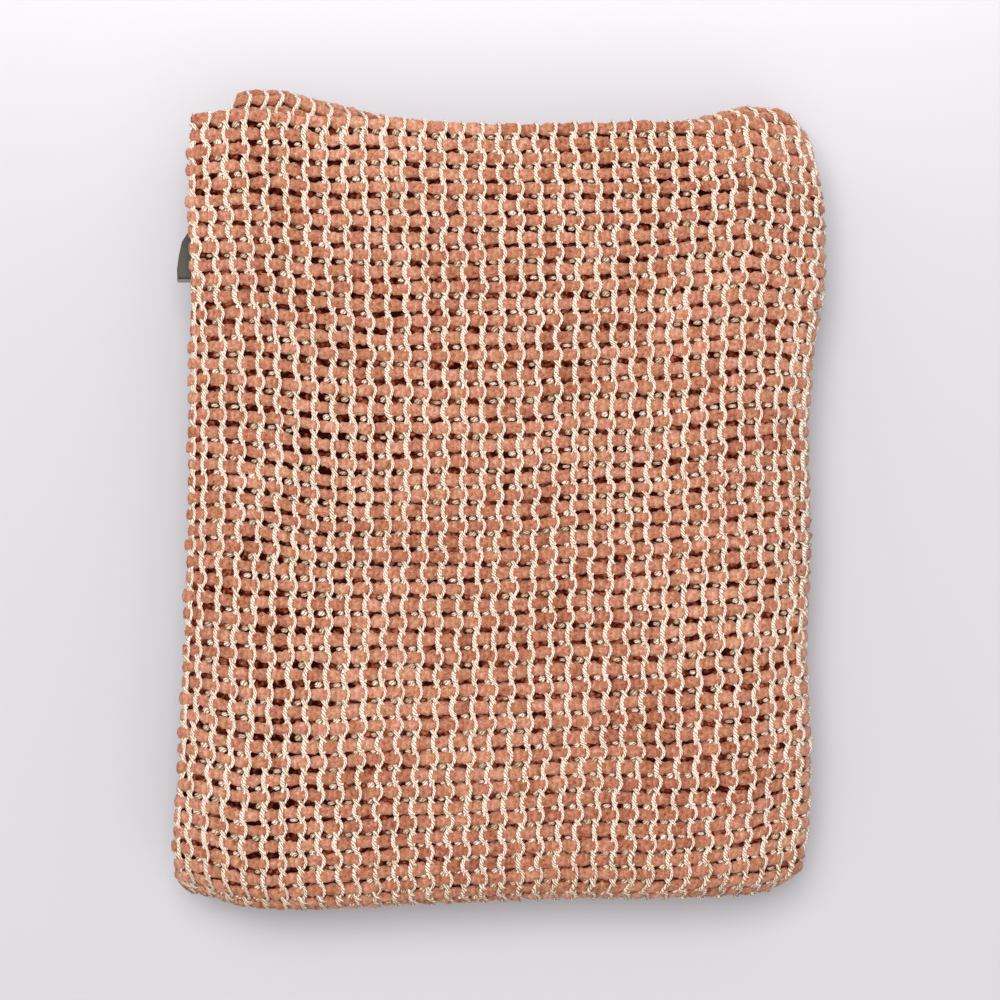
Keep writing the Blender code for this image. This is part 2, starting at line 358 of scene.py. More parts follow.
# The regions of yarn: the column where the top is split in two, how far yarns run on out of sight, and how
# much they cover of the free edge and of the hems inside the packet
MIDDLE_COLUMN = 18
TUCK = 0.009
EDGE_SHOWN = 0.016
HEM_SHOWN = 0.026

# The cloth's middle surface: its steps, which of a fold's places it takes, how far inside the cloth's edges
# it ends, and how deep it lies
PANEL_STEP = 0.02
FOLD_SKIP = 3
EDGE_INSET_U = 0.0012
EDGE_INSET_V = 0.0035
CLOTH_DEEP = -0.0008

# The label: where it lies along the top ply's edge, how far its fold stands out there, its inner end, its
# two layers, how far the lower one lies askew at the front, how light its face is from front to back, with a
# painted shadow along its front edge and darker towards its back, its droop, its steps, and its ribbon laid
# flat
LABEL_FRONT_Y = 0.1148
LABEL_BACK_Y = 0.1403
LABEL_OUT = {
    "y":   (0.1148, 0.1204, 0.1268, 0.1344, 0.1403),
    "out": (0.0083, 0.0084, 0.0073, 0.0054, 0.0010),
}
LABEL_ROOT_X = -0.1465
LABEL_LAYER = 0.0003
LABEL_APART = 0.0007
LABEL_SLIP = 0.0018
LABEL_SHADE = {
    "across": (0.00, 0.07, 0.20, 0.60, 1.00),
    "tone":   (-0.30, 0.10, 0.08, 0.00, -0.15),
}
LABEL_DROOP = 0.0022
LABEL_DROOP_REACH = 0.013
LABEL_STEPS = 10
LABEL_ACROSS_STEPS = 14
LABEL_NOSE_STEPS = 8

# Colours from dark to light, and tints from pink to brown, each with its place on a ramp from 0 to 1
# The chenille runs from painted crease shade to painted highlight, with its own uneven tone between.
CHENILLE_COLOURS = (
    (0.18, (0.165, 0.030, 0.012)),
    (0.40, (0.350, 0.112, 0.058)),
    (0.62, (0.480, 0.192, 0.116)),
    (0.92, (0.680, 0.360, 0.260)),
)
CHENILLE_TINTS = ((0.38, (1.0, 0.95, 0.99)), (0.62, (0.96, 1.0, 0.86)))
# The cream runs from tan painted shade in the grooves between plies to painted highlight on their crests.
CREAM_COLOURS = (
    (0.28, (0.245, 0.150, 0.068)),
    (0.60, (0.740, 0.550, 0.380)),
    (0.78, (0.970, 0.775, 0.650)),
)
# The inside's darkest colours are painted shade; its lightest are the ply below.
INNER_PLY_AND_SHADE_COLOURS = (
    (0.66, (0.018, 0.002, 0.001)),
    (0.80, (0.120, 0.018, 0.006)),
    (1.00, (0.430, 0.125, 0.062)),
)
RIBBON_COLOURS = (
    (0.12, (0.016, 0.011, 0.007)),
    (0.33, (0.046, 0.035, 0.022)),
    (0.52, (0.082, 0.065, 0.045)),
    (0.62, (0.140, 0.125, 0.110)),
    (0.90, (0.215, 0.195, 0.175)),
)
SHEEN_COLOUR = (1.0, 0.80, 0.70, 1.0)

# The ruffs of the pile, in radians for each millimetre, how far they and the twist of the cords stray, and
# how round the plies of a cord look
RUFF_TURN_PER_MM = 2.0
RUFF_STRAY = 11.0
PLY_STRAY = 5.0
PLY_ROUND = 0.8
MM_PER_METRE = 1000.0

# The photograph's frame: what its middle looks at, from how high, and how much it takes in at the top ply
CAMERA_X = 0.0
CAMERA_Y = -0.0005
CAMERA_ABOVE_TOP = 1.30
FRAME_WIDTH = 0.535
SENSOR_WIDTH = 36.0
FAR_ENOUGH = 20.0

# The studio: a floor, a large light above the back, a larger one that fills in from the front, a low strip
# of light for the floor behind the throw, and light from all round
FLOOR_SIZE = 8.0
FLOOR_Z = -0.0004
FLOOR_COLOUR = (0.515, 0.500, 0.525, 1.0)
LIGHTS = (
    {"name": "key", "at": (-0.18, 0.42, 1.90), "towards": (0, 0.05, 0), "size": (0.9, 0.9), "power": 31.8},
    {"name": "fill", "at": (0.35, -0.9, 2.0), "towards": (0, 0, 0), "size": (1.8, 1.8), "power": 13.2},
    {"name": "wash", "at": (0.0, 0.42, 0.18), "towards": (0, 0.42, 0), "size": (0.9, 0.10), "power": 0.83},
)
ALL_ROUND = 0.56
WHITE = (1.0, 1.0, 1.0, 1.0)

BODY = "root"


def smooth_step(value):
    value = np.clip(value, 0.0, 1.0)
    return value * value * (3 - 2 * value)


def noise(a, b, waver):
    """Smooth random values from -1 to 1, which change from place to place as the waver says."""
    size_a, size_b, seed = WAVERS[waver]
    lattice = np.random.default_rng(seed).uniform(-1, 1, (LATTICE, LATTICE))
    a, b = np.broadcast_arrays(np.asarray(a, float) / size_a, np.asarray(b, float) / size_b)
    cell_a, cell_b = np.floor(a).astype(int), np.floor(b).astype(int)
    share_a, share_b = smooth_step(a - cell_a), smooth_step(b - cell_b)

    def at(step_a, step_b):
        return lattice[(cell_a + step_a) % LATTICE, (cell_b + step_b) % LATTICE]

    near = at(0, 0) * (1 - share_b) + at(0, 1) * share_b
    far = at(1, 0) * (1 - share_b) + at(1, 1) * share_b
    return near * (1 - share_a) + far * share_a


# The folds


def arc(centre, radius, side, start):
    """Points and outward directions of a half turn about a centre, without its two ends.

    side says whether the fold bulges towards + or -, and start whether it begins above or below the centre.
    """
    rows = []
    for step in range(1, FOLD_STEPS):
        angle = math.pi * step / FOLD_STEPS
        out = (side * math.sin(angle), start * math.cos(angle))
        rows.append((centre[0] + radius * out[0], centre[1] + radius * out[1], out[0], out[1]))
    return rows


def across_route():
    """The cloth across its width: u, then x, height in the strip, and the direction its face points in."""
    panel = WIDE_FOLD_X - SMALL_FOLD_X
    folds = math.pi * (TOP_PLY + SECOND_PLY + SECOND_PLY)
    second_edge_x = WIDE_FOLD_X - (FLAT_WIDTH - folds - 2 * panel - (WIDE_FOLD_X - TOP_FREE_EDGE_X))
    rows = [(x, TOP_PLY, 0.0, 1.0) for x in (TOP_FREE_EDGE_X - SPARE, TOP_FREE_EDGE_X, WIDE_FOLD_X)]
    rows += arc((WIDE_FOLD_X, 0.0), TOP_PLY, 1, 1)
    rows += [(x, -TOP_PLY, 0.0, -1.0) for x in (WIDE_FOLD_X, SMALL_FOLD_X)]
    rows += arc((SMALL_FOLD_X, -PLY_PITCH), SECOND_PLY, -1, -1)
    rows += [(x, -SECOND_PLY, 0.0, 1.0) for x in (SMALL_FOLD_X, WIDE_FOLD_X)]
    rows += [(x, s, -nx, -ns) for x, s, nx, ns in arc((WIDE_FOLD_X, 0.0), SECOND_PLY, 1, -1)]
    rows += [(x, SECOND_PLY, 0.0, -1.0) for x in (WIDE_FOLD_X, second_edge_x, second_edge_x - SPARE)]
    rows = np.array(rows)
    steps = np.hypot(np.diff(rows[:, 0]), np.diff(rows[:, 1]))
    return np.concatenate([[0.0], np.cumsum(steps)]) - SPARE, rows


def run_height(run):
    """Height of the middle of a strip above the surface it lies on; run 0 is the top one."""
    return (RUNS - run - 0.5) * STRIP_PITCH - STRIP_LOW


def along_route():
    """The strip along its length: v, then y, z, the direction of its face, and the turns it has passed.

    v is measured on the outermost ply, so that rows keep their pitch round the folds that show.
    """
    back, front = BACK_FOLD_Y, FRONT_FOLD_Y
    used = (TOP_END_Y - front) + 2 * (back - front) + 3 * math.pi * TURN_RADIUS
    bottom_end_y = front + FLAT_LENGTH - used
    runs = (
        (TOP_END_Y + SPARE, TOP_END_Y, front),
        (front, back),
        (back, front),
        (front, bottom_end_y, bottom_end_y + SPARE),
    )
    rows = []
    v = -SPARE
    for run, places in enumerate(runs):
        up = 1.0 if run % 2 == 0 else -1.0
        first = places[1] if run == 0 else places[0]
        length = abs((places[1] if run == RUNS - 1 else places[-1]) - first)
        for number, y in enumerate(places):
            v += abs(y - places[number - 1]) if number else 0.0
            share = np.clip(abs(y - first) / length, 0, 1) if number or run else 0.0
            rows.append((v, y, run_height(run), 0.0, up, run + share))
        if run == RUNS - 1:
            break
        centre = (places[-1], (run_height(run) + run_height(run + 1)) / 2)
        side = -1 if run % 2 == 0 else 1
        for y, z, ny, nz in arc(centre, TURN_RADIUS, side, 1):
            v += TURN_LENGTH / FOLD_STEPS
            rows.append((v, y, z, up * ny, up * nz, run + 1.0))
        v += TURN_LENGTH / FOLD_STEPS
    rows = np.array(rows)
    return rows[:, 0], rows[:, 1:]


ACROSS_U, ACROSS = across_route()
ALONG_V, ALONG = along_route()
FULL_WIDTH = ACROSS_U[-1] - SPARE
FULL_LENGTH = ALONG_V[-1] - SPARE
LAST_ROW = math.floor(FULL_LENGTH / ROW_PITCH) - 1
PANEL_LENGTH = BACK_FOLD_Y - FRONT_FOLD_Y
RUN_END = [TOP_END_Y - FRONT_FOLD_Y]
RUN_START = [0.0]
for _ in range(RUNS - 1):
    RUN_START.append(RUN_END[-1] + TURN_LENGTH)
    RUN_END.append(RUN_START[-1] + PANEL_LENGTH)
WIDE_START = WIDE_FOLD_X - TOP_FREE_EDGE_X
WIDE_END = WIDE_START + math.pi * TOP_PLY
MIDDLE = MIDDLE_COLUMN * COLUMN_PITCH
SMALL_START = WIDE_END + WIDE_FOLD_X - SMALL_FOLD_X
SMALL_END = SMALL_START + math.pi * SECOND_PLY


def turn_values(passed, column):
    """A column of the table of turns, at a place along the length, from the turns on either side of it."""
    values = np.array([turn[column] for turn in TURNS])
    first = np.clip(np.floor(passed).astype(int), 0, RUNS - 1)
    share = smooth_step(passed - first)
    return values[first] * (1 - share) + values[first + 1] * share


def end_shift(passed, x):
    """How far a point moves along y because of the outline of the turns before and after it."""
    first = np.clip(np.floor(passed).astype(int), 0, RUNS - 1)
    share = passed - first
    outlines = np.stack([np.interp(x, TURN_X, turn["y"]) for turn in TURNS])
    before = np.take_along_axis(outlines, first[None], 0)[0]
    after = np.take_along_axis(outlines, first[None] + 1, 0)[0]
    return before * (1 - share) ** 2 + after * share**2


def beyond(past_edge):
    """How much of a side's sink a place has, by how far it lies past that side's edge."""
    return np.clip(past_edge / SINK_REACH + 1, 0, SINK_MOST) ** 2


def trough_at(y):
    """The trough's middle, depth and reach at a place along y."""
    return {key: np.interp(y, TROUGH["y"], TROUGH[key]) for key in ("x", "depth", "reach")}


def sink(x, y):
    """How far the top surface lies below its full height."""
    right_edge = WIDE_FOLD_X + np.interp(y, SIDE_OUTLINE["y"], SIDE_OUTLINE["right"])
    left_edge = SMALL_FOLD_X - np.interp(y, SIDE_OUTLINE["y"], SIDE_OUTLINE["left"])
    to_front = smooth_step((BACK_FOLD_Y - y) / PANEL_LENGTH)
    left_sink = LEFT_SINK_BACK + (LEFT_SINK_FRONT - LEFT_SINK_BACK) * to_front
    depth = RIGHT_SINK * beyond(x - right_edge) + left_sink * beyond(left_edge - x)
    depth = depth + FRONT_SINK * beyond(FRONT_FOLD_Y - y) + BACK_SINK * beyond(y - BACK_FOLD_Y)
    trough = trough_at(y)
    depth = depth + trough["depth"] * np.exp(-(((x - trough["x"]) / trough["reach"]) ** 2))
    wave_x = np.sin(2 * np.pi * x / UNEVEN_WAVE_X + UNEVEN_PHASE_X)
    waves = wave_x * np.cos(2 * np.pi * y / UNEVEN_WAVE_Y + UNEVEN_PHASE_Y)
    return depth + UNEVEN * (1 + waves)


def settled(x, s, row):
    """Takes points of the strip, x along it and s through it, to their place in the settled packet."""
    y = row[0] + s * row[2]
    z = row[1] + s * row[3]
    x, y, z, s, passed = np.broadcast_arrays(x, y, z, s, row[4])
    share = np.clip((x - SMALL_FOLD_X) / (WIDE_FOLD_X - SMALL_FOLD_X), -PAST_SIDE, 1 + PAST_SIDE)
    left = turn_values(passed, "left") - np.interp(y, SIDE_OUTLINE["y"], SIDE_OUTLINE["left"])
    right = turn_values(passed, "right") + np.interp(y, SIDE_OUTLINE["y"], SIDE_OUTLINE["right"])
    moved_x = x + left * (1 - share) ** 2 + right * share**2
    at_end = smooth_step(1 - np.minimum(passed, RUNS - passed) / END_REACH)
    moved_y = y + end_shift(passed, moved_x) - PLY_STAGGER * at_end * (TOP_PLY - s) / PLY_PITCH
    moved_z = z * (1 - sink(moved_x, moved_y) / HEIGHT)
    return np.stack([moved_x - CENTRE_X, moved_y - CENTRE_Y, np.maximum(moved_z, 0.0)], axis=-1)


def place(u, v, height):
    """Where a point of the flat cloth, at a height above its middle, lies in the packet."""
    x, s, nx, ns = (np.interp(u, ACROSS_U, ACROSS[:, column]) for column in range(4))
    row = [np.interp(v, ALONG_V, ALONG[:, column]) for column in range(5)]
    return settled(x + height * nx, s + height * ns, row)


# The weave


def drift(drifts, u, v):
    """How far the weave moves at a place on the cloth, through all the drifts there."""
    moves = []
    for (at_u, at_v), (reach_u, reach_v), by in drifts:
        moves.append(by * np.exp(-(((u - at_u) / reach_u) ** 2) - ((v - at_v) / reach_v) ** 2))
    return np.sum(moves, axis=0)


def openness(u, v):
    """How far the weave stands open at a place on the cloth, 0 where it is close."""
    x = u + TOP_FREE_EDGE_X
    trough = trough_at(TOP_END_Y - v)
    away = (x - trough["x"] - trough["reach"] / 2) / trough["reach"]
    opened = OPEN_TROUGH * trough["depth"] / max(TROUGH["depth"]) * np.exp(-(away**2))
    opened = opened * (u < WIDE_START) * (v < RUN_END[0])
    for (at_u, at_v), reach, by in OPEN_PATCHES:
        opened = opened + by * np.exp(-((u - at_u) ** 2 + (v - at_v) ** 2) / reach**2)
    return opened


def fullness(row, u):
    """How full the yarns are at a place, 1 where the weave is close and less where it is open."""
    return 1 - openness(u, row * ROW_PITCH) + OPEN_UNEVEN * noise(row, u, "fullness")


def side_of(row):
    """+1 where a row's cords stand to the right of their column, -1 where they stand to the left."""
    return np.where(row % 2 == 0, 1.0, -1.0)


def column_u(row, column):
    """The middle line of a column at a row."""
    wander = COLUMN_WANDER * (noise(row, column, "column bend") + noise(row, column, "column sway"))
    u = EDGE_COLUMN + column * COLUMN_PITCH
    inwards = EDGE_COLUMN_IN * ((column == 0) - 2.0 * (column == COLUMNS - 1))
    return u + inwards + wander + drift(COLUMN_DRIFTS, u, row * ROW_PITCH)


def cord_u(row, column):
    """Where a column's cord crosses over a row."""
    return column_u(row, column) + JOG * side_of(row) + CORD_JITTER * noise(row, column, "cord place")


def row_v(row, u):
    """Where the middle of a row lies along the cloth. Rows stand a little closer together in pairs."""
    paired = 0.5 - GAP_UNEVEN * side_of(row)
    wander = ROW_WANDER * (noise(row, u, "row bend") + noise(row, u, "row sway"))
    jitter = ROW_JITTER * noise(row, u, "row place")
    v = FIRST_ROW + (row + paired) * ROW_PITCH
    return v + wander + jitter + drift(ROW_DRIFTS, u, v)


def add_object(name, data):
    obj = bpy.data.objects.new(name, data)
    bpy.context.scene.collection.objects.link(obj)
    return obj


def new_mesh(name, points, faces, material):
    """A mesh object from an array of points and arrays of faces, one array for each number of corners."""
    mesh = bpy.data.meshes.new(name)
    loops = np.concatenate([group.ravel() for group in faces])
    corners = np.concatenate([np.full(len(group), group.shape[1]) for group in faces])
    mesh.vertices.add(len(points))
    mesh.vertices.foreach_set("co", points.astype(np.float32).ravel())
    mesh.loops.add(len(loops))
    mesh.loops.foreach_set("vertex_index", loops.astype(np.int32))
    mesh.polygons.add(len(corners))
    mesh.polygons.foreach_set("loop_start", (np.cumsum(corners) - corners).astype(np.int32))
    mesh.update(calc_edges=True)
    mesh.shade_smooth()
    mesh.materials.append(material)
    return add_object(name, mesh)


def give_tone(obj, tone):
    """Stores at each point how light the material is there: its own uneven tone, and painted shade where a
    mesh has it.
    """
    values = obj.data.attributes.new("tone", "FLOAT", "POINT")
    values.data.foreach_set("value", tone.astype(np.float32).ravel())


def quads_of(grid):
    """The four-sided faces between neighbours in a grid of point numbers."""
    return np.stack([grid[:-1, :-1], grid[:-1, 1:], grid[1:, 1:], grid[1:, :-1]], -1).reshape(-1, 4)


def tubes(name, centre, half, axis, along, tone, sides, material, rough=0.0):
    """Closed tubes in one mesh.

    centre is (u, v, height) and half is (width, height), each a grid of strands by stations. axis is "u" for
    yarns that run across the cloth, "v" for yarns that run along it.
    """
    angle = 2 * np.pi * (np.arange(sides) + 0.5) / sides
    wide = half[0][..., None] * np.cos(angle)
    high = half[1][..., None] * np.sin(angle)
    if rough:
        random = np.random.default_rng(len(name) * SEED_STEP + centre[0].size)
        wide = wide + random.normal(0, rough, wide.shape)
        high = high + random.normal(0, rough, high.shape)
    u, v, height = (value[..., None] for value in centre)
    points = place(u, v + wide, height + high) if axis == "u" else place(u - wide, v, height + high)
    number = np.arange(wide.size).reshape(wide.shape)
    turned = np.roll(number, -1, axis=2)
    quads = np.stack([number[:, :-1], number[:, 1:], turned[:, 1:], turned[:, :-1]], -1).reshape(-1, 4)
    caps = np.concatenate([number[:, 0, :], number[:, -1, ::-1]])
    obj = new_mesh(name, points.reshape(-1, 3), [quads, caps], material)
    around = np.broadcast_to(np.arange(sides) / sides, wide.shape)
    run = np.broadcast_to(along[..., None], wide.shape)
    tone = np.broadcast_to(tone[..., None], wide.shape)
    if rough:
        tone = tone + random.normal(0, TONE_ROUGH, wide.shape)
    corners = (
        (run[:, :-1], around[:, :-1]),
        (run[:, 1:], around[:, 1:]),
        (run[:, 1:], around[:, 1:] + 1 / sides),
        (run[:, :-1], around[:, :-1] + 1 / sides),
    )
    uv = np.stack([np.stack(pair, -1) for pair in corners], axis=-2).reshape(-1, 2)
    layer = obj.data.uv_layers.new(name="yarn")
    layer.data.foreach_set("uv", np.concatenate([uv, np.zeros((caps.size, 2))]).astype(np.float32).ravel())
    give_tone(obj, tone)
    return obj


def wefts(name, rows, columns, detail, material):
    """The chenille of some rows, from one column's cords to another's, swelling between the cords."""
    row = rows[:, None]
    crossing = cord_u(row, columns[None, :])
    place_in_cell = np.array(detail["weft"])
    swells = np.tile(np.sin(np.pi * place_in_cell) ** SWELL, (len(rows), len(columns) - 1, 1))
    rounded = np.sin(np.pi * place_in_cell) ** np.where(place_in_cell < 0.5, EDGE_SWELL, SWELL)
    if columns[0] < 0:
        crossing[:, 0] = EDGE_JITTER * (noise(rows, 0.0, "first end") - EDGE_OUT)
        for number in (1, 2):
            under = crossing[:, number] < EDGE_CORD_SHOWN
            crossing[:, number] = np.where(under, crossing[:, number - 1] + EDGE_CLOSE, crossing[:, number])
            swells[under, number - 1] = EDGE_TIP
            swells[under, number:number + 1] = rounded
    if columns[-1] >= COLUMNS:
        end = FULL_WIDTH + EDGE_JITTER * (noise(rows, 0.0, "last end") + EDGE_OUT)
        crossing[:, -1] = np.maximum(end, crossing[:, -2] + EDGE_ROUND)
    u = crossing[:, :-1, None] + np.diff(crossing)[:, :, None] * place_in_cell
    u = np.concatenate([u.reshape(len(rows), -1), crossing[:, -1:]], axis=1)
    swell = np.concatenate([swells.reshape(len(rows), -1), np.zeros((len(rows), 1))], axis=1)
    uneven = YARN_UNEVEN * noise(row, u, "yarn thickness") + YARN_LUMPS * noise(row, u, "yarn lumps")
    plump = fullness(row, u) * (1 + uneven)
    boxy = np.sign(swell) * np.abs(swell) ** BOXY
    width = YARN_HALF_WIDTH * (PINCH_WIDTH + (1 - PINCH_WIDTH) * boxy) * plump
    height = YARN_HALF_HEIGHT * (PINCH_HEIGHT + (1 - PINCH_HEIGHT) * swell) * plump
    for end, at_edge in ((0, columns[0] < 0), (-1, columns[-1] >= COLUMNS)):
        if at_edge:
            width[:, end] *= EDGE_END
            height[:, end] *= EDGE_END
    changes = SHADE_SHORT * noise(row, u, "short shade") + SHADE_LONG * noise(row, u, "long shade")
    # Painted shade: the yarn darkens towards each tie, where a cord pinches it.
    tone = np.clip((SHADE_LEVEL + changes) * (TIED_PAINTED_SHADE + (1 - TIED_PAINTED_SHADE) * swell), 0, 1)
    centre = (u, row_v(row, u), np.zeros_like(u))
    return tubes(name, centre, (width, height), "u", u, tone, detail["weft_sides"], material, PILE_ROUGH)


def gap_u(row, column):
    """Where a column's cords cross one another in the gap after a row."""
    middle = (cord_u(row, column) + cord_u(row + 1, column)) / 2
    return np.maximum(middle + GAP_DRIFT * JOG * (noise(row, column, "knot place") - 1), EDGE_GAP)


def cord_tone(v, columns, level, waver):
    """How light cords are, unevenly, and greyer with painted shade where they go over the front fold."""
    # Painted shade on the cords where the front fold turns down from the light.
    grey = FRONT_PAINTED_SHADE * smooth_step(1 - np.abs(v - RUN_END[0] - TURN_LENGTH / 2) / FRONT_PAINTED_SHADE_REACH)
    return np.clip(level + TONE_CHANGE * noise(v / ROW_PITCH, columns[:, None], waver), 0, 1) - grey


def cord_line(rows, columns, steps):
    """Stations of the cords that pass over each row: u, v, height and how thick each is there."""
    row = rows[None, :]
    column = columns[:, None]
    over_u = cord_u(row, column)
    over_height = np.where(over_u < EDGE_CORD_SHOWN, CORD_UNDER, CORD_OVER)
    over_u = np.maximum(over_u, EDGE_ROUND)
    over_v = row_v(row, over_u)
    before = gap_u(row - 1, column)
    after = gap_u(row, column)
    next_v = row_v(row + 1, cord_u(row + 1, column))
    thick = 1 - CORD_UNEVEN * side_of(row)
    lists = []
    for step in steps:
        if step < 0.5:
            over = math.cos(math.pi * step)
            gap = before if step < 0 else after
            u = gap + (over_u - gap) * over**CORD_BEND
            v = over_v + step * ROW_PITCH
            lists.append((u, v, CORD_IN_GAP + (over_height - CORD_IN_GAP) * over**CORD_RISE, thick))
        else:
            lists.append((after, (over_v + next_v) / 2, CORD_IN_GAP, CORD_KNOT))
    lists = [[np.broadcast_to(value, over_u.shape) for value in entry] for entry in lists]
    grid = [np.stack([entry[k] for entry in lists], axis=-1).reshape(len(columns), -1) for k in range(4)]
    return [values[:, :-1] for values in grid]


def hemmed(grid, rows):
    """Takes cords round the first or last row of the cloth, where these rows are among them."""
    first, last = int(rows[0] == 0), int(rows[-1] == LAST_ROW)
    u, v, height, thick = (np.pad(value, ((0, 0), (first, last)), mode="edge") for value in grid)
    for end, hem, reach in ((0, first, -HEM_REACH), (-1, last, HEM_REACH)):
        if hem:
            v[:, end] += reach
            height[:, end] = -HEM_TUCK
    return u, v, height, thick


def cords(name, rows, columns, detail, material):
    """The twisted cords that pass over each row, now to the right of their column and now to the left."""
    u, v, height, thick = hemmed(cord_line(rows, columns, detail["cord"]), rows)
    full = thick * (1 + CORD_VARIES * noise(v / ROW_PITCH, columns[:, None], "cord thickness"))
    tone = cord_tone(v, columns, OVER_TONE, "tone over rows")
    half = (CORD_HALF_WIDTH * full, CORD_HALF_HEIGHT * full)
    return tubes(name, (u, v, height), half, "v", v, tone, detail["cord_sides"], material)


def grounds(name, rows, columns, detail, material):
    """The cords that pass under each row and come up over the others in the gaps."""
    row = rows[None, :]
    column = columns[:, None]
    middle = gap_u(row, column)
    here = row_v(row, middle)
    after = row_v(row + 1, column_u(row + 1, column))
    wide_gap = side_of(row) > 0
    lists = []
    for step, wide_height, wide_u, narrow_height, narrow_u in detail["ground"]:
        u = middle + JOG * np.where(wide_gap, wide_u, narrow_u)
        height = np.where(wide_gap & (middle > EDGE_CORD_SHOWN), wide_height, narrow_height)
        lists.append((u, here + (after - here) * step, np.broadcast_to(height, u.shape)))
    u, v, height = (np.stack([e[k] for e in lists], axis=-1).reshape(len(columns), -1) for k in range(3))
    tone = cord_tone(v, columns, UNDER_TONE, "tone under rows")
    half = (np.full(u.shape, GROUND_HALF_WIDTH), np.full(u.shape, GROUND_HALF_WIDTH * GROUND_FLAT))
    return tubes(name, (u, v, height), half, "v", GROUND_TWIST * v, tone, detail["ground_sides"], material)


def specks(name, rows, columns, material):
    """Short bits of cord left of most of the knots, cream in the narrow gaps and tan in the wide ones."""
    row, column = (value.ravel() for value in np.meshgrid(rows, columns))
    shown = (noise(row, column, "speck shown") > SPECK_SHOWN) & (gap_u(row, column) > 2 * SPECK_SPAN[0])
    row, column = row[shown], column[shown]
    share, sunk, thick = (np.array(SPECK_PROFILE[key]) for key in ("share", "sunk", "thick"))
    knot_u = gap_u(row, column)
    longer = 1 + SPECK_LENGTH_VARIES * noise(row, column, "speck length")
    far, near = (knot_u - away * longer for away in SPECK_SPAN)
    u = far[:, None] + (near - far)[:, None] * share
    flat = np.zeros_like(u)
    v = (row_v(row, near) + row_v(row + 1, near))[:, None] / 2 + flat
    height = SPECK_HEIGHT - SPECK_DROP * sunk + flat
    thicker = 1 + SPECK_THICKNESS_VARIES * noise(row, column, "speck thickness")
    half = SPECK_HALF * thick * thicker[:, None]
    tone = SPECK_TONE_VARIES * noise(row, column, "speck tone") - SPECK_TAN * (side_of(row) > 0)
    return tubes(name, (u, v, height), (half, half), "u", u, tone[:, None] + flat, SPECK_SIDES, material)


def regions():
    """The stretches of cloth that show: a name, the span in u and in v, and how finely each is made."""
    wide = (WIDE_START - TUCK, WIDE_END + TUCK)
    small = (SMALL_START - TUCK, SMALL_END + TUCK)
    top = (0, RUN_END[0] + TURN_LENGTH + TUCK)
    return (
        ("top_left", (0, MIDDLE), top, FINE),
        ("top_right", (MIDDLE, wide[1]), top, FINE),
        ("front_roll", (0, wide[1]), (RUN_END[2] - TUCK, RUN_START[3] + TUCK), MEDIUM),
        ("under", (0, wide[1]), (RUN_START[3] + TUCK, FULL_LENGTH), COARSE),
        ("back_roll", (WIDE_START, small[1]), (RUN_END[1] - TUCK, RUN_START[2] + TUCK), MEDIUM),
        ("side_1", wide, (RUN_START[1] + TUCK, RUN_END[1] - TUCK), MEDIUM),
        ("side_2", wide, (RUN_START[2] + TUCK, RUN_END[2] - TUCK), MEDIUM),
        ("edge_1", (0, EDGE_SHOWN), (RUN_START[1] + TUCK, RUN_END[2] - TUCK), MEDIUM),
        ("fold_1", small, (0, RUN_END[1] - TUCK), MEDIUM),
        ("fold_2", small, (RUN_START[2] + TUCK, FULL_LENGTH), MEDIUM),
        ("hem_top", (wide[1], FULL_WIDTH), (0, HEM_SHOWN), MEDIUM),
        ("hem_bottom", (wide[1], FULL_WIDTH), (FULL_LENGTH - HEM_SHOWN, FULL_LENGTH), MEDIUM),
    )


def whole_numbers(span, pitch, last):
    """The rows or columns that lie within a span of the cloth, by their numbers."""
    first = max(0, round(span[0] / pitch))
    return np.arange(first, min(last, round(span[1] / pitch) - 1) + 1)


def make_yarns(chenille, cream):
    pieces = []
    for region, span_u, span_v, detail in regions():
        rows = whole_numbers(span_v, ROW_PITCH, LAST_ROW)
        columns = whole_numbers(span_u, COLUMN_PITCH, COLUMNS - 1)
        ends = np.concatenate([[columns[0] - 1], columns])
        if columns[-1] == COLUMNS - 1:
            ends = np.concatenate([ends, [COLUMNS]])
        pieces.append(wefts("weft_" + region, rows, ends, detail, chenille))
        pieces.append(cords("cord_" + region, rows, columns, detail, cream))
        if detail["ground"]:
            pieces.append(grounds("ground_" + region, rows, columns, detail, cream))
        if detail is FINE:
            pieces.append(specks("speck_" + region, rows, columns, cream))
    return pieces


def make_cloth(material):
    """The cloth's middle surface, whole, on all its folds: what shows deep in the gaps of the weave, the ply
    below in painted shade.
    """
    u = stations(ACROSS_U, FULL_WIDTH, EDGE_INSET_U)
    v = stations(ALONG_V, FULL_LENGTH, EDGE_INSET_V)
    points = place(u[:, None], v[None, :], CLOTH_DEEP)
    number = np.arange(len(u) * len(v)).reshape(len(u), len(v))
    obj = new_mesh("cloth", points.reshape(-1, 3), [quads_of(number)], material)
    # Painted shade: the inner cloth is darker where the weave stands open.
    give_tone(obj, 1 - np.clip(openness(u[:, None], v[None, :]) / OPEN_DARK, 0, 1))
    return obj


def stations(bends, length, inset):
    """Places along a route: some places of its folds, and no more than a panel step apart elsewhere."""
    inner = bends[(bends > inset) & (bends < length - inset)]
    places = np.unique(np.concatenate([[inset], inner[::FOLD_SKIP], [length - inset]]))
    filled = [places[:1]]
    for low, high in zip(places[:-1], places[1:]):
        count = max(1, math.ceil((high - low) / PANEL_STEP))
        filled.append(np.linspace(low, high, count + 1)[1:])
    return np.concatenate(filled)


# Materials


def new_material(name):
    material = bpy.data.materials.new(name)
    material.use_nodes = True
    nodes = material.node_tree.nodes
    return material, nodes, material.node_tree.links, nodes["Principled BSDF"]


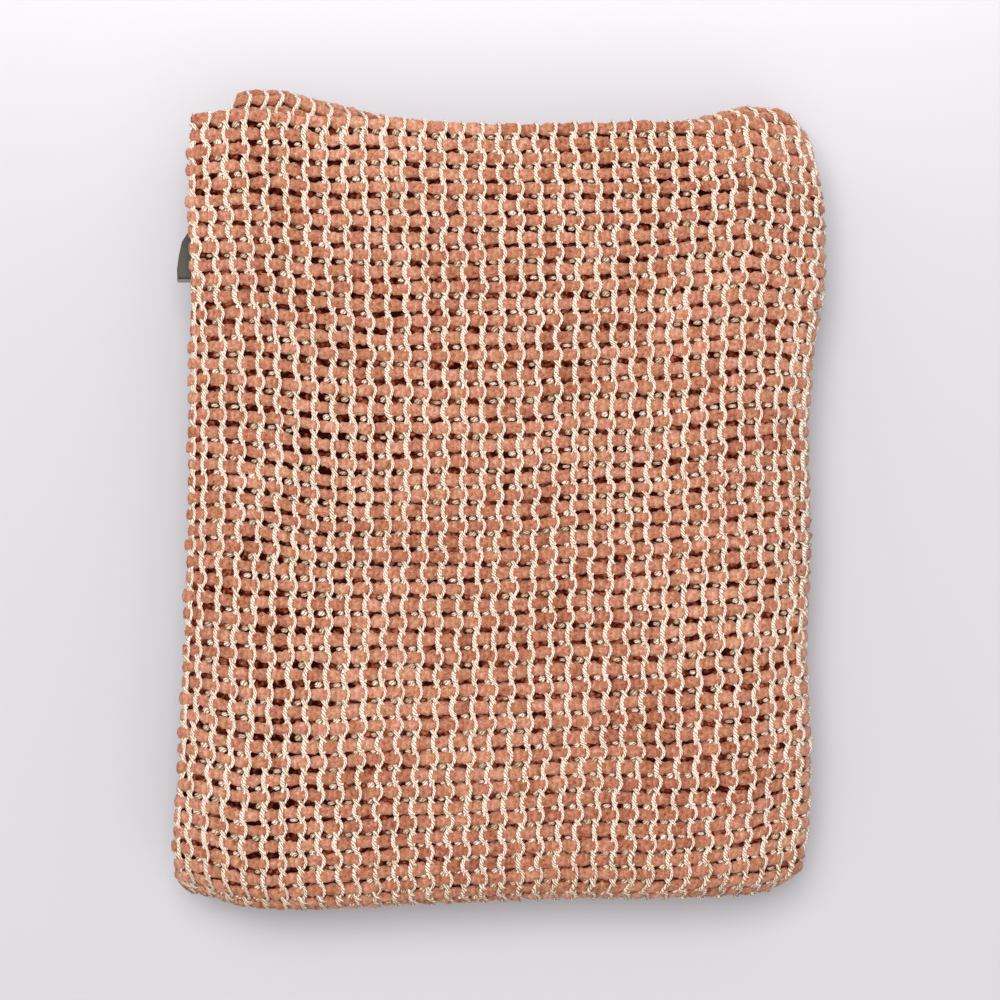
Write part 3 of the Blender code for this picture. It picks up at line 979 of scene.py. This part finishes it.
def ramp_between(nodes, links, value, stops):
    ramp = nodes.new("ShaderNodeValToRGB")
    links.new(value, ramp.inputs["Fac"])
    while len(ramp.color_ramp.elements) < len(stops):
        ramp.color_ramp.elements.new(0.5)
    for element, (place_on_ramp, colour) in zip(ramp.color_ramp.elements, stops):
        element.position = place_on_ramp
        element.color = (*colour, 1.0)
    return ramp.outputs["Color"]


def noise_texture(nodes, links, scale, detail=2.0, roughness=0.6):
    """Unevenness that is fixed in space, with about so many bumps a metre."""
    place_in_space = nodes.new("ShaderNodeTexCoord").outputs["Object"]
    texture = nodes.new("ShaderNodeTexNoise")
    texture.inputs["Scale"].default_value = scale
    texture.inputs["Detail"].default_value = detail
    texture.inputs["Roughness"].default_value = roughness
    links.new(place_in_space, texture.inputs["Vector"])
    return texture.outputs["Fac"]


def calculate(nodes, links, operation, *values):
    node = nodes.new("ShaderNodeMath")
    node.operation = operation
    for socket, value in zip(node.inputs, values):
        if isinstance(value, (int, float)):
            socket.default_value = value
        else:
            links.new(value, socket)
    return node.outputs["Value"]


def weighed(nodes, links, parts, shift=0.0):
    """The sum of some values, each times its weight, and of a shift."""
    total = calculate(nodes, links, "MULTIPLY", *parts[0])
    for value, weight in parts[1:]:
        total = calculate(nodes, links, "MULTIPLY_ADD", value, weight, total)
    return calculate(nodes, links, "ADD", total, shift) if shift else total


def bump(nodes, links, shader, height, distance, strength):
    node = nodes.new("ShaderNodeBump")
    node.inputs["Distance"].default_value = distance
    node.inputs["Strength"].default_value = strength
    links.new(height, node.inputs["Height"])
    links.new(node.outputs["Normal"], shader.inputs["Normal"])


def yarn_coordinates(nodes, links):
    """How far along the yarn a point lies, in millimetres, and how far round it, from 0 to 1."""
    layer = nodes.new("ShaderNodeUVMap")
    layer.uv_map = "yarn"
    split = nodes.new("ShaderNodeSeparateXYZ")
    links.new(layer.outputs["UV"], split.inputs["Vector"])
    return calculate(nodes, links, "MULTIPLY", split.outputs["X"], MM_PER_METRE), split.outputs["Y"]


def tone_of(nodes):
    attribute = nodes.new("ShaderNodeAttribute")
    attribute.attribute_name = "tone"
    return attribute.outputs["Fac"]


def make_chenille():
    """Short dense pile that stands out in close soft ruffs, pinker here and browner there, with painted
    shade in its creases and painted highlights on its ruffs and lumps.
    """
    material, nodes, links, shader = new_material("chenille")
    along, _ = yarn_coordinates(nodes, links)
    clump = noise_texture(nodes, links, scale=430.0, roughness=0.55)
    fibre = noise_texture(nodes, links, scale=1500.0)
    phase = weighed(nodes, links, ((along, RUFF_TURN_PER_MM), (clump, RUFF_STRAY)))
    ruff = calculate(nodes, links, "MULTIPLY_ADD", calculate(nodes, links, "SINE", phase), 0.5, 0.5)
    # Painted shade and highlight: the ruffs and lumps that make the bump darken the colour in their hollows
    # and lighten it on their crests.
    parts = ((ruff, 0.10), (clump, 0.85), (fibre, 0.85), (tone_of(nodes), 0.55))
    colour = ramp_between(nodes, links, weighed(nodes, links, parts, shift=-0.600), CHENILLE_COLOURS)
    patch = noise_texture(nodes, links, scale=210.0, roughness=0.5)
    mix = nodes.new("ShaderNodeMix")
    mix.data_type = "RGBA"
    mix.blend_type = "MULTIPLY"
    mix.inputs[0].default_value = 1.0
    links.new(colour, mix.inputs[6])
    links.new(ramp_between(nodes, links, patch, CHENILLE_TINTS), mix.inputs[7])
    links.new(mix.outputs[2], shader.inputs["Base Color"])
    shader.inputs["Roughness"].default_value = 0.92
    shader.inputs["Specular IOR Level"].default_value = 0.25
    shader.inputs["Sheen Weight"].default_value = 0.35
    shader.inputs["Sheen Roughness"].default_value = 0.45
    shader.inputs["Sheen Tint"].default_value = SHEEN_COLOUR
    height = weighed(nodes, links, ((ruff, 0.30), (clump, 0.9), (fibre, 0.22)))
    bump(nodes, links, shader, height, distance=0.0015, strength=1.0)
    return material


def make_cream():
    """Two plies of smooth cream yarn, twisted round one another, with painted shade in the grooves between
    them and a painted highlight on their crests.
    """
    material, nodes, links, shader = new_material("cream_cord")
    along, around = yarn_coordinates(nodes, links)
    fibre = noise_texture(nodes, links, scale=1500.0, detail=3.0)
    stray = noise_texture(nodes, links, scale=420.0, detail=1.0, roughness=0.5)
    twist = ((along, -math.pi / PLY_LAY_MM), (stray, PLY_STRAY), (around, 4 * math.pi))
    wave = calculate(nodes, links, "SINE", weighed(nodes, links, twist))
    rise = calculate(nodes, links, "POWER", calculate(nodes, links, "ABSOLUTE", wave), PLY_ROUND)
    # Painted shade and highlight: the colour darkens to tan in the grooves between the plies and lightens on
    # their crests, as the bump does.
    light = weighed(nodes, links, ((fibre, 0.16), (rise, 0.72), (tone_of(nodes), 0.14)))
    links.new(ramp_between(nodes, links, light, CREAM_COLOURS), shader.inputs["Base Color"])
    shader.inputs["Roughness"].default_value = 0.62
    shader.inputs["Specular IOR Level"].default_value = 0.35
    shader.inputs["Sheen Weight"].default_value = 0.15
    height = weighed(nodes, links, ((rise, 1.0), (fibre, 0.15)))
    bump(nodes, links, shader, height, distance=0.0005, strength=0.9)
    return material


def make_inner_ply_and_shade():
    """The inside of the weave, dark with painted shade, with glimpses of the ply below."""
    material, nodes, links, shader = new_material("inner_ply_and_shade")
    patches = noise_texture(nodes, links, scale=330.0, roughness=0.55)
    fibre = noise_texture(nodes, links, scale=1300.0)
    light = weighed(nodes, links, ((patches, 1.0), (fibre, 0.3), (tone_of(nodes), 0.14)))
    links.new(ramp_between(nodes, links, light, INNER_PLY_AND_SHADE_COLOURS), shader.inputs["Base Color"])
    shader.inputs["Roughness"].default_value = 0.95
    shader.inputs["Specular IOR Level"].default_value = 0.0
    bump(nodes, links, shader, light, distance=0.001, strength=0.8)
    return material


# The label


def make_label(material):
    """A ribbon folded over at its outer end, askew, so that its lower layer shows past the upper one."""
    width = np.linspace(0, 1, LABEL_ACROSS_STEPS + 1)
    share = np.linspace(0, 1, LABEL_STEPS + 1)
    turn = np.linspace(0, math.pi, LABEL_NOSE_STEPS + 1)[1:-1]
    apart = LABEL_APART / 2
    sides = []
    for offset in (LABEL_LAYER / 2, -LABEL_LAYER / 2):
        grid = []
        for y_share in width:
            y = LABEL_FRONT_Y + (LABEL_BACK_Y - LABEL_FRONT_Y) * y_share
            tip = TOP_FREE_EDGE_X - np.interp(y, LABEL_OUT["y"], LABEL_OUT["out"])
            straight = LABEL_ROOT_X + (tip + apart - LABEL_ROOT_X) * share
            x = np.concatenate([straight, tip + apart - apart * np.sin(turn), straight[::-1]])
            x_out = np.concatenate([0 * share, -np.sin(turn), 0 * share])
            rise = np.concatenate([1 + 0 * share, np.cos(turn), -1 + 0 * share])
            slip = LABEL_SLIP * (1 - rise) / 2 * (1 - y_share)
            droop = LABEL_DROOP * smooth_step((SMALL_FOLD_X - x) / LABEL_DROOP_REACH)
            s = SECOND_PLY - droop + (apart + offset) * rise
            passed = (TOP_END_Y - y) / (TOP_END_Y - FRONT_FOLD_Y)
            row = np.array([y, run_height(0), 0.0, 1.0, passed])
            grid.append(settled(x + offset * x_out, s, row) - np.stack([0 * slip, slip, 0 * slip], -1))
        sides.append(np.array(grid))
    points = np.stack(sides)
    number = np.arange(points[..., 0].size).reshape(points.shape[:3])
    outer, inner = number
    faces = [quads_of(outer.T), quads_of(inner)]
    borders = (
        (outer[0], inner[0]),
        (inner[-1], outer[-1]),
        (inner[:, 0], outer[:, 0]),
        (outer[:, -1], inner[:, -1]),
    )
    faces += [quads_of(np.stack(pair)) for pair in borders]
    obj = new_mesh("ribbon", points.reshape(-1, 3), faces, material)
    # Painted shadow: the ribbon's face is dark along its front edge, where its upper layer ends over the
    # lower one, and darker towards its back.
    face = np.interp(width, LABEL_SHADE["across"], LABEL_SHADE["tone"])
    tone = np.ones(number.shape)
    tone[0] = face[:, None]
    give_tone(obj, tone)
    return obj


def make_label_material():
    """Fine dull ribbon with cross ribs, dark on its face and grey on its back."""
    material, nodes, links, shader = new_material("ribbon")
    grain = noise_texture(nodes, links, scale=900.0, detail=3.0)
    rib = nodes.new("ShaderNodeTexWave")
    rib.bands_direction = "Y"
    rib.inputs["Scale"].default_value = 620.0
    rib.inputs["Distortion"].default_value = 0.6
    links.new(nodes.new("ShaderNodeTexCoord").outputs["Object"], rib.inputs["Vector"])
    light = weighed(nodes, links, ((rib.outputs["Fac"], 0.24), (grain, 0.36), (tone_of(nodes), 0.45)))
    links.new(ramp_between(nodes, links, light, RIBBON_COLOURS), shader.inputs["Base Color"])
    shader.inputs["Roughness"].default_value = 0.6
    shader.inputs["Sheen Weight"].default_value = 0.2
    bump(nodes, links, shader, light, distance=0.0003, strength=0.7)
    return material


# Camera, floor and light


def look_straight_down():
    camera = bpy.data.cameras.new("camera")
    camera.sensor_width = SENSOR_WIDTH
    camera.lens = SENSOR_WIDTH * CAMERA_ABOVE_TOP / FRAME_WIDTH
    camera.clip_end = FAR_ENOUGH
    obj = add_object("camera", camera)
    obj.location = (CAMERA_X - CENTRE_X, CAMERA_Y - CENTRE_Y, CAD_BOX[1][2] + CAMERA_ABOVE_TOP)
    bpy.context.scene.camera = obj


def lay_floor():
    bpy.ops.mesh.primitive_plane_add(size=FLOOR_SIZE, location=(0.0, 0.0, FLOOR_Z))
    floor = bpy.context.object
    floor.name = "floor"
    material, nodes, links, shader = new_material("floor")
    shader.inputs["Base Color"].default_value = FLOOR_COLOUR
    shader.inputs["Roughness"].default_value = 0.9
    floor.data.materials.append(material)


def add_light(lamp):
    light = bpy.data.lights.new(lamp["name"], "AREA")
    light.shape = "RECTANGLE"
    light.size, light.size_y = lamp["size"]
    light.energy = lamp["power"]
    obj = add_object(lamp["name"], light)
    obj.location = lamp["at"]
    direction = mathutils.Vector(lamp["towards"]) - mathutils.Vector(lamp["at"])
    obj.rotation_euler = direction.to_track_quat("-Z", "Y").to_euler()


def light_the_studio():
    for lamp in LIGHTS:
        add_light(lamp)
    world = bpy.data.worlds.new("studio")
    world.use_nodes = True
    world.node_tree.nodes["Background"].inputs["Color"].default_value = WHITE
    world.node_tree.nodes["Background"].inputs["Strength"].default_value = ALL_ROUND
    bpy.context.scene.world = world
    bpy.context.scene.view_settings.view_transform = "Standard"


def main():
    chenille = make_chenille()
    cream = make_cream()
    cloth = make_cloth(make_inner_ply_and_shade())
    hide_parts("throw")
    yarns = make_yarns(chenille, cream)
    for piece in (cloth, *yarns):
        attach(piece, BODY)
    label = make_label(make_label_material())
    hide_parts("label")
    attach(label, BODY)
    look_straight_down()
    lay_floor()
    light_the_studio()


main()
